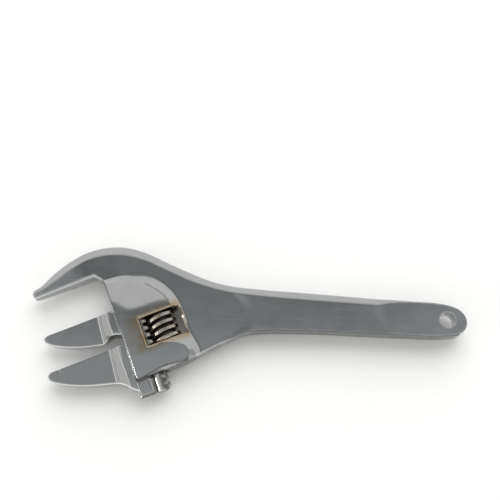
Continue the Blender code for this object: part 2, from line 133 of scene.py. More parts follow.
def dense(points, spacing):
    """Follows closed control points, each x, y, smooth and then its edge values, with short chords."""
    values = np.array([[float(n) for n in p[:2] + p[3:]] for p in points])
    smooth = [p[2] for p in points]
    xy = values[:, :2]
    count = len(points)
    rows = []
    for i in range(count):
        before, here, after, beyond = xy[i - 1], xy[i], xy[(i + 1) % count], xy[(i + 2) % count]
        chord = after - here
        length = np.linalg.norm(chord)

        def tangent(p, q, r):
            first, second = np.linalg.norm(q - p), np.linalg.norm(r - q)
            mixed = (q - p) / first * second + (r - q) / second * first
            return mixed / (first + second) * length

        start = tangent(before, here, after) if smooth[i] else chord
        end = tangent(here, after, beyond) if smooth[(i + 1) % count] else chord
        steps = max(1, math.ceil(length / spacing))
        for k in range(steps):
            t = k / steps
            place = (
                (2 * t**3 - 3 * t**2 + 1) * here + (t**3 - 2 * t**2 + t) * start
                + (3 * t**2 - 2 * t**3) * after + (t**3 - t**2) * end
            )
            edge = values[i, 2:] * (1 - t) + values[(i + 1) % count, 2:] * t
            rows.append([*place, *edge])
    return np.array(rows)


def inward(loop):
    """The direction into the material at each point of a counter-clockwise loop, longer at corners."""
    ahead = np.roll(loop, -1, 0) - loop
    ahead /= np.linalg.norm(ahead, axis=1)[:, None]
    left = np.stack([-ahead[:, 1], ahead[:, 0]], 1)
    both = left + np.roll(left, 1, 0)
    both /= np.linalg.norm(both, axis=1)[:, None]
    return both / np.clip((both * left).sum(1), 0.5, 1.0)[:, None]


def runs_left(loop):
    """Whether a convex loop of at least 31 points runs counter-clockwise."""
    return np.cross(loop[1, :2] - loop[0, :2], loop[30, :2] - loop[0, :2]) > 0


def contains(loop, xy):
    a, b = loop, np.roll(loop, -1, 0)
    inside = np.zeros(len(xy), bool)
    for (ax, ay), (bx, by) in zip(a, b):
        crossing = (ay > xy[:, 1]) != (by > xy[:, 1])
        if ay != by:
            inside ^= crossing & (xy[:, 0] < (bx - ax) * (xy[:, 1] - ay) / (by - ay) + ax)
    return inside


def nearest(loops, xy):
    """Distance to the nearest of the loops' edges, and the edge values there."""
    a = np.concatenate(loops)
    b = np.concatenate([np.roll(loop, -1, 0) for loop in loops])
    chord = b[:, :2] - a[:, :2]
    length2 = (chord**2).sum(1)
    distance, values = np.empty(len(xy)), np.empty((len(xy), a.shape[1] - 2))
    for at in range(0, len(xy), 1500):
        p = xy[at:at + 1500]
        away = p[:, None, :] - a[None, :, :2]
        t = np.clip((away * chord).sum(2) / length2, 0.0, 1.0)
        gap = ((away - t[:, :, None] * chord) ** 2).sum(2)
        best = gap.argmin(1)
        rows = np.arange(len(p))
        part = t[rows, best][:, None]
        distance[at:at + 1500] = np.sqrt(gap[rows, best])
        values[at:at + 1500] = a[best, 2:] * (1 - part) + b[best, 2:] * part
    return distance, values


def signed(loop, xy):
    """Distance inside a loop, negative outside it."""
    distance, _ = nearest([loop], xy)
    return np.where(contains(loop[:, :2], xy), distance, -distance)


# ---------------------------------------------------------------- solids from heights

# Shares of a rounding's radius at which it is sampled, and distances from a bevel's inner edge.
ROUND_STEPS = (0.06, 0.234, 0.5, 0.826, 1.0)
BEVEL_STEPS = (-0.5, -0.25, 0.0, 0.25, 0.5)
GRID = 0.8
CELL = 0.25
EDGE_CLEAR, GRID_CLEAR = 0.012, 0.45
GUIDE_ROOM, GRID_ROOM = 0.03, 0.3


def new_piece(name, points, faces):
    mesh = bpy.data.meshes.new(name)
    mesh.from_pydata([tuple(p) for p in points], [], [tuple(f) for f in faces])
    mesh.validate()
    piece = bpy.data.objects.new(name, mesh)
    bpy.context.scene.collection.objects.link(piece)
    return piece


def face_outward(piece):
    built = bmesh.new()
    built.from_mesh(piece.data)
    bmesh.ops.recalc_face_normals(built, faces=built.faces[:])
    built.to_mesh(piece.data)
    built.free()
    return piece


def solid(name, loops, height, guides=()):
    """A closed body, the same above and below. The first loop is its outline and the rest are holes.
    Each loop's rows are x, y, rounding radius, bevel width and bevel drop."""
    points = [loop[:, :2] for loop in loops]
    for loop in loops:
        into = inward(loop[:, :2])
        for share in ROUND_STEPS:
            points.append(loop[:, :2] + into * (loop[:, 2:3] * share))
        wide = loop[:, 3] > 1.0
        for across in BEVEL_STEPS:
            points.append((loop[:, :2] + into * (loop[:, 3:4] + across))[wide])
    points += [np.asarray(g) for g in guides]
    low, high = loops[0][:, :2].min(0), loops[0][:, :2].max(0)
    across = np.arange(low[0], high[0], GRID)
    up = np.arange(low[1], high[1], GRID * 0.866)
    grid = np.array([(x + (j % 2) * GRID / 2, y) for j, y in enumerate(up) for x in across])
    points.append(grid)
    fixed = sum(len(loop) for loop in loops)
    every = np.concatenate(points)
    is_grid = np.arange(len(every)) >= len(every) - len(grid)
    keep = np.ones(len(every), bool)
    inside = contains(loops[0][:, :2], every)
    for hole in loops[1:]:
        inside &= ~contains(hole[:, :2], every)
    distance, _ = nearest(loops, every)
    keep[fixed:] = inside[fixed:] & (distance[fixed:] > EDGE_CLEAR)
    keep &= ~(is_grid & (distance < GRID_CLEAR))
    taken, chosen = {}, []
    for i in np.nonzero(keep)[0]:
        x, y = every[i]
        room = GRID_ROOM if is_grid[i] else GUIDE_ROOM
        cx, cy = int(x // CELL), int(y // CELL)
        reach = 2 if is_grid[i] else 1
        if i >= fixed and any(
            (every[j][0] - x) ** 2 + (every[j][1] - y) ** 2 < room * room
            for a in range(cx - reach, cx + reach + 1) for b in range(cy - reach, cy + reach + 1)
            for j in taken.get((a, b), ())
        ):
            continue
        taken.setdefault((cx, cy), []).append(i)
        chosen.append(i)
    flat = every[chosen]
    edges, at = [], 0
    for loop in loops:
        edges += [(at + k, at + (k + 1) % len(loop)) for k in range(len(loop))]
        at += len(loop)
    placed, _, faces, *_ = geometry.delaunay_2d_cdt([Vector(p) for p in flat], edges, [], 0, 1e-7, False)
    placed, faces = np.array(placed), np.array(faces)
    middle = placed[faces].mean(1)
    shown = contains(loops[0][:, :2], middle)
    for hole in loops[1:]:
        shown &= ~contains(hole[:, :2], middle)
    faces = faces[shown]
    used, faces = np.unique(faces, return_inverse=True)
    placed, faces = placed[used], faces.reshape(-1, 3)
    spin = np.cross(placed[faces[:, 1]] - placed[faces[:, 0]], placed[faces[:, 2]] - placed[faces[:, 0]])
    faces[spin < 0] = faces[spin < 0][:, ::-1]
    distance, values = nearest(loops, placed)
    rounding = values[:, 0]
    z = height(placed, distance, values)
    short = np.clip(rounding - distance, 0.0, None)
    z = z - rounding + np.sqrt(np.clip(rounding**2 - short**2, 0.0, None))
    count = len(placed)
    both = np.concatenate([np.column_stack([placed, z]), np.column_stack([placed, -z])])
    half = {edge: True for a, b, c in faces.tolist() for edge in ((a, b), (b, c), (c, a))}
    walls = [(b, a, a + count, b + count) for a, b in half if (b, a) not in half]
    under = (faces[:, ::-1] + count).tolist()
    return new_piece(name, to_row(both), faces.tolist() + under + walls)


def cut(piece, operation, others):
    for other in others:
        change = piece.modifiers.new("cut", "BOOLEAN")
        change.operation, change.solver, change.object = operation, "EXACT", other
    bpy.context.view_layer.update()
    graph = bpy.context.evaluated_depsgraph_get()
    mesh = bpy.data.meshes.new_from_object(piece.evaluated_get(graph))
    piece.modifiers.clear()
    piece.data = mesh
    for other in others:
        bpy.data.objects.remove(other, do_unlink=True)
    return piece


def smooth(piece, angle=32.0):
    piece.data.shade_smooth()
    piece.data.set_sharp_from_angle(angle=math.radians(angle))
    return piece


def head_matrix(u, v, z=0.0):
    """Local x runs along v, local y along -u and local z up, in the row frame."""
    x, y = in_wrench(u, v)
    place = to_row((x, y, z))
    turn = Matrix(((V_AXIS[0], -U_AXIS[0], 0), (V_AXIS[1], -U_AXIS[1], 0), (0, 0, 1))).to_4x4()
    return Matrix.Translation(place) @ turn


def box(name, u, v, z):
    """A box between two reaches, two depths and two heights."""
    built = bmesh.new()
    size = Matrix.Diagonal(((v[1] - v[0]) * MM, (u[1] - u[0]) * MM, (z[1] - z[0]) * MM, 1.0))
    bmesh.ops.create_cube(built, size=1.0, matrix=head_matrix(sum(u) / 2, sum(v) / 2, sum(z) / 2) @ size)
    mesh = bpy.data.meshes.new(name)
    built.to_mesh(mesh)
    built.free()
    made = bpy.data.objects.new(name, mesh)
    bpy.context.scene.collection.objects.link(made)
    return made


def turned(name, profile, u, v, around=96):
    """A profile of radius and reach, turned about a line along the channel on which it starts and ends."""
    angles = np.arange(around) * 2 * math.pi / around
    points, faces = [], []
    start = np.array((*in_wrench(0.0, v), 0.0))
    circles = []
    for radius, reach in profile:
        if radius == 0.0:
            circles.append([len(points)])
            points.append(start + U_3D * (u + reach))
            continue
        circles.append(list(range(len(points), len(points) + around)))
        for a in angles:
            out = V_3D * math.cos(a) + Z_3D * math.sin(a)
            points.append(start + U_3D * (u + reach) + out * radius)
    for low, high in zip(circles, circles[1:]):
        for k in range(around):
            n = (k + 1) % around
            if len(low) == 1:
                faces.append((low[0], high[n], high[k]))
            elif len(high) == 1:
                faces.append((low[k], low[n], high[0]))
            else:
                faces.append((low[k], low[n], high[n], high[k]))
    return face_outward(new_piece(name, to_row(points), faces))


# ---------------------------------------------------------------- body

# Edge values are rounding radius, bevel width and bevel drop.
FACE_EDGE = (0.45, 0.0, 0.0)
HEAD_EDGE = (0.9, 0.0, 0.0)
NEAR_EDGE = (0.35, 0.0, 0.0)
END_EDGE = (0.6, 0.0, 0.0)
HOLE_EDGE = (0.45, 0.0, 0.0)
WINDOW_EDGE = (0.3, 0.0, 0.0)
WINDOW_RIGHT_EXTRA = 0.5


def at_head(u, v, soft, *edge):
    return (*in_wrench(u, v), soft, *edge)


body_points = [
    at_head(4.2, 0.0, False, *FACE_EDGE),
    at_head(61.0, 0.0, False, *FACE_EDGE),
    at_head(60.9, 14.0, True, *HEAD_EDGE),
    at_head(59.5, 33.6, True, *HEAD_EDGE),
    (60.0, -36.6, True, *NEAR_EDGE),
    (69.8, -31.0, True, *NEAR_EDGE),
    (76.5, -27.6, True, *NEAR_EDGE),
    (85.3, -25.9, True, *NEAR_EDGE),
    (102.0, -24.8, True, *NEAR_EDGE),
    (160.0, -23.5, True, *NEAR_EDGE),
    (179.9, -22.8, True, 0.5, 0.0, 0.0),
    (188.0, -21.4, True, *END_EDGE),
    (191.4, -18.4, True, *END_EDGE),
    (192.35, -15.2, True, *END_EDGE),
    (191.6, -11.6, True, *END_EDGE),
    (188.8, -8.3, True, *END_EDGE),
    (183.6, -6.2, True, *END_EDGE),
    (178.9, -5.4, True, 0.6, 0.3, 0.1),
    (162.0, -4.95, True, 0.6, 0.4, 0.15),
    (155.0, -4.75, True, 0.7, 1.4, 0.5),
    (146.0, -4.55, True, 0.8, 3.6, 1.35),
    (110.0, -3.65, True, 0.8, 4.1, 1.5),
    (84.0, -3.1, True, 0.8, 3.9, 1.5),
    (68.0, -2.2, True, 0.8, 3.7, 1.5),
    (57.2, -0.1, True, 0.8, 3.7, 1.5),
    (46.2, 3.6, True, 0.8, 4.3, 1.6),
    (32.8, 8.8, True, 0.8, 4.0, 1.6),
    (22.0, 13.2, True, 0.8, 4.4, 1.6),
    (9.3, 15.8, True, 0.8, 4.9, 1.7),
    (-0.3, 14.95, True, 0.8, 4.8, 1.7),
    (-9.7, 11.8, True, 0.8, 4.6, 1.7),
    (-18.6, 6.1, True, 0.8, 4.5, 1.7),
    (-27.1, -2.0, True, 0.8, 4.2, 1.4),
    (-32.5, -8.7, True, 0.9, 2.6, 0.9),
    at_head(-3.9, -37.0, True, 0.6, 0.9, 0.3),
    at_head(-2.0, -37.65, True, 0.5, 0.3, 0.1),
    at_head(-0.5, -37.0, True, 0.5, 0.3, 0.1),
    at_head(0.0, -35.2, False, 0.35, 0.5, 0.3),
    at_head(0.0, -4.2, False, 0.35, 0.8, 0.5),
]
body_loop = dense(body_points, 0.7)
window_corners = [
    (WINDOW_REACH[0], WINDOW_DEPTH[0]), (WINDOW_REACH[0], WINDOW_DEPTH[1]),
    (WINDOW_REACH[1], WINDOW_DEPTH[1]), (WINDOW_REACH[1], WINDOW_DEPTH[0]),
]
window_loop = dense([at_head(u, v, False, *WINDOW_EDGE) for u, v in window_corners], 0.7)
window_loop[:, 2] += WINDOW_RIGHT_EXTRA * step(in_head(window_loop[:, :2])[1], 30.0, 31.9)
hole_loop = dense(
    [
        (*(HOLE_CENTRE + HOLE_RADIUS * np.array((math.cos(a), -math.sin(a)))), True, *HOLE_EDGE)
        for a in np.arange(24) * math.pi / 12
    ],
    0.5,
)
if runs_left(window_loop):
    window_loop = window_loop[::-1]

# The plate's two rings, and the fold on its top, all as reach and depth.
plate_foot = [
    (3.6, -6.0), (3.7, 1.3), (4.0, 7.6), (6.3, 17.5), (10.5, 24.6), (15.0, 28.2), (19.7, 30.8),
    (25.8, 33.0), (31.0, 33.8), (38.0, 34.0), (47.0, 34.0), (59.6, 34.0), (60.0, 26.0),
    (60.9, 14.0), (62.3, 0.0), (62.3, -6.0),
]
plate_crest = [
    (6.8, -6.0), (6.8, 1.3), (7.7, 9.4), (10.2, 15.7), (13.3, 19.4), (17.0, 22.6), (23.2, 26.8),
    (28.3, 28.6), (32.0, 29.2), (40.0, 28.6), (44.5, 25.5), (46.6, 17.2), (47.7, 19.7),
    (48.4, 22.1), (49.7, 24.9), (51.8, 27.4), (54.3, 28.7), (57.8, 29.0), (59.0, 14.1),
    (60.8, 0.7), (61.0, -6.0),
]
plate_fold = [
    (14.0, -12.0), (16.5, -2.0), (18.8, 0.7), (21.6, 3.0), (24.2, 5.9), (25.6, 9.2), (26.0, 13.6),
    (26.0, 19.1), (26.4, 24.5), (27.6, 28.1), (31.0, 31.0), (34.0, 40.0), (-20.0, 40.0), (-20.0, -12.0),
]


def head_loop(corners, spacing=0.6):
    return dense([at_head(u, v, 0 < i < len(corners) - 1) for i, (u, v) in enumerate(corners)], spacing)


foot_loop = head_loop(plate_foot)
crest_loop = head_loop(plate_crest)
fold_loop = head_loop(plate_fold, 1.0)


FOLD_SLOPE = 0.125
PLATE_SUNK = 0.35
PANEL_RAISED = 0.16
PANEL_FADE = 4.0
TIP_THINNING = 1.57 / 30.0
NO_PLATE = -9.0


def plate_height(xy):
    """The raised plate: a ramp from its foot to its crest, and a top that falls beyond the fold."""
    foot, crest = signed(foot_loop, xy), signed(crest_loop, xy)
    folded = signed(fold_loop, xy)
    top = PLATE_TOP - FOLD_SLOPE * smax(folded, np.zeros(len(xy)), 3.0)
    slope = np.clip(foot, 0.0, None) / np.clip(np.clip(foot, 0.0, None) - crest, 1e-6, None)
    low = FLAT - PLATE_SUNK
    ramp = low + (top - low) * np.where(crest > 0.0, 1.0 + crest * 0.5, slope)
    return np.where(foot > 0.0, smin(top, ramp, 0.22), NO_PLATE)


def body_height(xy, distance, values):
    """The flat with the handle's raised panel, the thinning fixed jaw, the bevel and the plate."""
    u, v = in_head(xy)
    x, y = xy.T
    left = 79.6 - 0.055 * (y + 18.7) ** 2
    right = 145.8 + 0.037 * (y + 8.0) ** 2
    panel = step(x, left - PANEL_FADE, left + PANEL_FADE)
    panel = panel * (1.0 - step(x, right - PANEL_FADE, right + PANEL_FADE))
    flat = FLAT - PANEL_RAISED * (1.0 - panel) * step(x, 36.0, 66.0)
    thin = FLAT - TIP_THINNING * (-8.0 - v)
    flat = np.where(u < 3.0, smin(flat, thin, 0.06), flat)
    slope = (values[:, 2] + 0.02) / (values[:, 1] + 0.05)
    flat = smin(flat, flat - values[:, 2] + distance * slope, 0.14)
    near_head = (u > -1.0) & (v < 36.0)
    plate = np.full(len(xy), NO_PLATE)
    plate[near_head] = plate_height(xy[near_head])
    return smax(flat, plate, 0.3)


def rings(loop, offsets):
    into = inward(loop[:, :2])
    return [loop[:, :2] + into * across for across in offsets]


plate_guides = rings(foot_loop, (-0.9, -0.45, -0.15, 0.15, 0.45, 0.9))
plate_guides += rings(crest_loop, (-0.8, -0.4, -0.15, 0.0, 0.15, 0.4, 0.8))
body = solid("body_forging", [body_loop, window_loop, hole_loop], body_height, plate_guides)

bore_profile = [(0.0, CHANNEL_START), (BORE_RADIUS, CHANNEL_START)]
bore_profile += [(BORE_RADIUS, PAST_HEAD), (0.0, PAST_HEAD)]
bore = turned("bore_cut", bore_profile, 0.0, CHANNEL_DEPTH)
slot = box("slot_cut", (CHANNEL_START, PAST_HEAD), (-5.0, CHANNEL_DEPTH), (-SLOT_HALF, SLOT_HALF))
pockets = box("pocket_cut", POCKET_REACH, POCKET_DEPTH, (-POCKET_HALF, POCKET_HALF))
cut(body, "DIFFERENCE", [bore, slot, pockets])
smooth(body)


# ---------------------------------------------------------------- loose jaws

BLADE_FALL = 0.8
SHANK_SLOPE = 0.262
RIDGE_RISE, GROOVE_EDGE_RISE, FOLD_RISE = 0.2, 0.09, 0.12
HOLLOW_AT, HOLLOW_ACROSS, HOLLOW_DEPTH = (21.2, -24.0), (9.5, 6.8), 0.04
NICK_AT, NICK_DEPTH = (41.0, -36.4), 0.25
WEB_DEPTH, WEB_HALF = (-1.3, 6.0), 2.5
NECK_START, NECK_HALF = 5.0, 1.5
TOOTH_TIP = 15.0
RACK_ENDS, CUTTER_TOP, CUTTER_HALF = 10.2, 16.2, 6.0


def jaw_height(ridge, tip, dents):
    """The blade falls from its ridge to the tip. Past the ridge a slope rises to the shank's flat."""
    def height(xy, distance, values):
        u, v = in_head(xy)
        fold = ridge_depth(ridge, u)
        blade = BLADE_HEIGHT - BLADE_FALL * (fold - v) / (fold + tip)
        rise = BLADE_HEIGHT + (v - fold) * SHANK_SLOPE
        z = smin(smax(blade, rise, 0.03), np.full(len(u), FLAT), 0.05)
        z = z + RIDGE_RISE * line(v - fold, 0.28) + GROOVE_EDGE_RISE * line(v - fold - 1.05, 0.22)
        return z + FOLD_RISE * line(v - SHANK_FOLD, 0.26) + dents(u, v)

    return height


def hollow(u, v):
    """A shallow trough across the blade near its tip."""
    across = (u - HOLLOW_AT[0]) * HOLLOW_ACROSS[0] + (v - HOLLOW_AT[1]) * HOLLOW_ACROSS[1]
    return -HOLLOW_DEPTH * line(across / math.hypot(*HOLLOW_ACROSS), 1.7)


def nick(u, v):
    """A small dent near the tip."""
    return -NICK_DEPTH * line(np.hypot(u - NICK_AT[0], v - NICK_AT[1]), 0.4)


GRIP = (0.25, 0.0, 0.0)
BACK = (0.6, 0.0, 0.0)
ROOT = (0.6, 0.0, 0.0)
NOSE = (0.9, 0.0, 0.0)
HEEL = (1.1, 0.0, 0.0)
SHOULDER = (0.8, 0.0, 0.0)
WEB_EDGE = (0.35, 0.0, 0.0)
ROD_CHAMFER = 0.35


def teeth_cut(name, rod):
    """One slanted cutter between each pair of teeth, as wide as the worm's thread."""
    groove = RACK_FIRST_TOOTH + PITCH / 2
    while groove > rod[0] - PITCH:
        groove -= PITCH
    points, faces = [], []
    sides = ((0, 1, 5), (0, 5, 4), (1, 3, 7), (1, 7, 5), (3, 2, 6), (3, 6, 7), (2, 0, 4), (2, 4, 6))
    while groove < rod[1] + PITCH:
        first = len(points)
        for z, root in ((-CUTTER_HALF, RACK_ENDS), (0.0, RACK_ROOT), (CUTTER_HALF, RACK_ENDS)):
            centre = groove - RACK_SLANT * z
            for depth in (root, CUTTER_TOP):
                half = CREST_HALF + FLANK * (depth - RACK_ROOT)
                points.append((*in_wrench(centre + half, depth), z))
                points.append((*in_wrench(centre - half, depth), z))
        for at in (first, first + 4):
            faces += [tuple(at + k for k in face) for face in sides]
        faces += [(first, first + 2, first + 3, first + 1), (first + 8, first + 9, first + 11, first + 10)]
        groove += PITCH
    return face_outward(new_piece(name, to_row(points), faces))


def jaw(name, outline, ridge, tip, dents, web, rod):
    """The blade and shank, joined to the web in the slot and the toothed rod in the bore."""
    loop = dense([at_head(u, v, soft, *edge) for u, v, soft, edge in outline], 0.6)
    across = np.arange(ridge[0] - 1.0, ridge[0] + 30.0, 0.5)
    folds = [
        in_wrench(u, ridge_depth(ridge, u) + off) for off in np.arange(-0.6, 1.5, 0.1) for u in across
    ]
    folds += [in_wrench(u, SHANK_FOLD + off) for off in np.arange(-0.5, 0.51, 0.1) for u in across]
    made = solid(name, [loop], jaw_height(ridge, tip, dents), [np.array(folds)])
    web_corners = [
        (web[0], WEB_DEPTH[0]), (web[1], WEB_DEPTH[0]), (web[1], WEB_DEPTH[1]), (web[0], WEB_DEPTH[1]),
    ]
    web_loop = dense([at_head(u, v, False, *WEB_EDGE) for u, v in web_corners], 0.8)
    if not runs_left(web_loop):
        web_loop = web_loop[::-1]
    web_piece = solid(name + "_web", [web_loop], lambda xy, distance, values: np.full(len(xy), WEB_HALF))
    neck_reach = (web[0] + 0.2, web[1] - 0.5)
    neck = box(name + "_neck", neck_reach, (NECK_START, CHANNEL_DEPTH), (-NECK_HALF, NECK_HALF))
    stations = np.arange(rod[0] + ROD_CHAMFER, rod[1] - ROD_CHAMFER, 0.37)
    bar = turned(
        name + "_rod",
        [(0.0, rod[0]), (ROD_RADIUS - ROD_CHAMFER, rod[0])]
        + [(ROD_RADIUS, reach) for reach in stations]
        + [(ROD_RADIUS, rod[1] - ROD_CHAMFER), (ROD_RADIUS - ROD_CHAMFER, rod[1]), (0.0, rod[1])],
        0.0, CHANNEL_DEPTH,
    )
    tips = box("tips_cut", (rod[0] - 2, rod[1] + 2), (TOOTH_TIP, 18.0), (-CUTTER_HALF, CUTTER_HALF))
    cut(bar, "DIFFERENCE", [tips, teeth_cut("teeth_cut", rod)])
    cut(made, "UNION", [web_piece, neck, bar])
    return smooth(made), loop


jaw_large, large_loop = jaw(
    "large_opening_jaw",
    [
        (22.6, -0.3, False, ROOT), (21.2, -2.0, True, SHOULDER), (21.2, -6.0, False, GRIP),
        (21.2, -36.4, False, GRIP), (21.7, -38.4, True, NOSE), (22.7, -39.2, True, HEEL),
        (24.6, -38.4, True, BACK), (26.5, -36.5, True, BACK), (29.8, -31.2, True, BACK),
        (32.4, -25.4, True, BACK), (34.6, -19.0, True, BACK), (36.1, -13.0, True, BACK),
        (36.6, -10.6, True, BACK), (35.9, -8.6, True, HEEL), (34.4, -6.6, True, HEEL),
        (34.0, -4.6, True, HEEL), (34.4, -2.6, True, (1.0, 0.0, 0.0)), (35.4, -0.3, False, ROOT),
    ],
    LARGE_RIDGE, 39.4, hollow, web=(23.2, 34.8), rod=(10.2, 41.6),
)
jaw_small, small_loop = jaw(
    "small_opening_jaw",
    [
        (41.8, -0.3, False, ROOT), (40.2, -2.0, True, SHOULDER), (40.2, -6.0, False, GRIP),
        (40.2, -40.0, False, GRIP), (40.7, -41.9, True, NOSE), (42.0, -42.8, True, HEEL),
        (44.3, -41.9, True, BACK), (46.6, -39.2, True, BACK), (51.1, -31.2, True, BACK),
        (53.5, -25.4, True, BACK), (55.4, -19.6, True, BACK), (57.1, -13.7, True, BACK),
        (58.2, -10.2, True, BACK), (59.1, -8.6, True, (1.2, 0.0, 0.0)), (61.1, -6.3, True, (1.2, 0.0, 0.0)),
        (63.3, -4.5, True, (1.2, 0.0, 0.0)), (66.6, -0.3, False, SHOULDER),
    ],
    SMALL_RIDGE, 43.0, nick, web=(42.2, 69.2), rod=(42.0, 69.7),
)


# ---------------------------------------------------------------- worm, axle and springs

def worm_piece():
    """The thread is right-handed about +u, with fine notches across its crest."""
    around, along, end_chamfer, notch_depth = 224, 168, 0.7, 0.12
    half = WORM_LENGTH / 2
    s = np.concatenate([[-half], np.linspace(-half, half, along), [half]])
    angle = np.arange(around) * 2 * math.pi / around
    a, w = np.meshgrid(angle, s, indexing="ij")
    start = RACK_FIRST_TOOTH - WORM_REACH
    phase = (w - start - PITCH * a / (2 * math.pi)) / PITCH
    off = np.abs(phase - np.round(phase)) * PITCH
    flank = WORM_RADIUS - (off - CREST_HALF) / FLANK
    notch = notch_depth * (0.5 + 0.5 * np.cos(a * CREST_NOTCHES)) ** 3
    crest = WORM_RADIUS - notch
    radius = smax(smin(crest, flank, 0.25), np.full_like(flank, WORM_ROOT), 0.3)
    rim = WORM_RADIUS - 0.05 - np.clip(np.abs(w) - (half - end_chamfer), 0.0, None)
    radius = smin(radius, rim, 0.1)
    radius[:, 0] = radius[:, -1] = WORM_BORE
    centre = np.array((*in_wrench(WORM_REACH, WORM_DEPTH), 0.0))
    out = np.cos(a)[..., None] * V_3D + np.sin(a)[..., None] * Z_3D
    points = centre + w[..., None] * U_3D + out * radius[..., None]
    columns = len(s)
    faces = []
    for i in range(around):
        n = (i + 1) % around
        for k in range(columns):
            m = (k + 1) % columns
            faces.append((i * columns + k, i * columns + m, n * columns + m, n * columns + k))
    return smooth(face_outward(new_piece("worm_wheel", to_row(points.reshape(-1, 3)), faces)), 50.0)


worm = worm_piece()
axle_end = [(AXLE_RADIUS, AXLE_HALF - AXLE_CHAMFER)]
axle_end += [(AXLE_RADIUS - AXLE_CHAMFER, AXLE_HALF), (0.0, AXLE_HALF)]
axle_profile = [(radius, -along) for radius, along in reversed(axle_end)] + axle_end
axle = smooth(turned("worm_pin", axle_profile, WORM_REACH, WORM_DEPTH, around=48))


def spring_piece(name, reach):
    """A coil whose axis runs along the head's depth."""
    turns, coil, wire = 6, 1.55, 0.25
    steps, sides = turns * 28, 10
    front, back = SPRING_DEPTH
    points, faces = [], []
    for i in range(steps + 1):
        a = 2 * math.pi * turns * i / steps
        radial = U_3D * math.cos(a) + Z_3D * math.sin(a)
        centre = np.array((*in_wrench(reach, front + (back - front) * i / steps), 0.0)) + radial * coil
        for k in range(sides):
            b = 2 * math.pi * k / sides
            points.append(centre + wire * (radial * math.cos(b) + V_3D * math.sin(b)))
    for i in range(steps):
        for k in range(sides):
            n = (k + 1) % sides
            faces.append((i * sides + k, i * sides + n, (i + 1) * sides + n, (i + 1) * sides + k))
    faces += [tuple(range(sides)), tuple(steps * sides + k for k in reversed(range(sides)))]
    return smooth(face_outward(new_piece(name, to_row(points), faces)), 60.0)


upper_spring = spring_piece("upper_spring_coil", SPRING_REACHES[0])
lower_spring = spring_piece("lower_spring_coil", SPRING_REACHES[1])


# ---------------------------------------------------------------- paint masks

# A point nearer to the outline than WALL is on a side wall. One higher than ON_TOP is on a face.
WALL = 0.03
ON_TOP = 2.0
HANDLE_MIDDLE = -13.0


def paint(piece, tint=0.0, shade_and_grime=0.0, ground=0.0, painted_highlight=0.0):
    """Brown heat tint, painted shade (a light even dirt on pins and springs), bare ground steel and painted
    highlights, from 0 to about 1 at each point.
    """
    count = len(piece.data.vertices)
    for name, values in (("tint", tint), ("shade_and_grime", shade_and_grime), ("ground", ground), ("painted_highlight", painted_highlight)):
        layer = piece.data.attributes.new(name, "FLOAT", "POINT")
        layer.data.foreach_set("value", np.broadcast_to(values, count).astype(np.float32))


def wrench_points(piece):
    co = np.zeros(len(piece.data.vertices) * 3)
    piece.data.vertices.foreach_get("co", co)
    return co.reshape(-1, 3) / MM + ROW_CENTRE


def most(*layers):
    return np.maximum.reduce(layers)


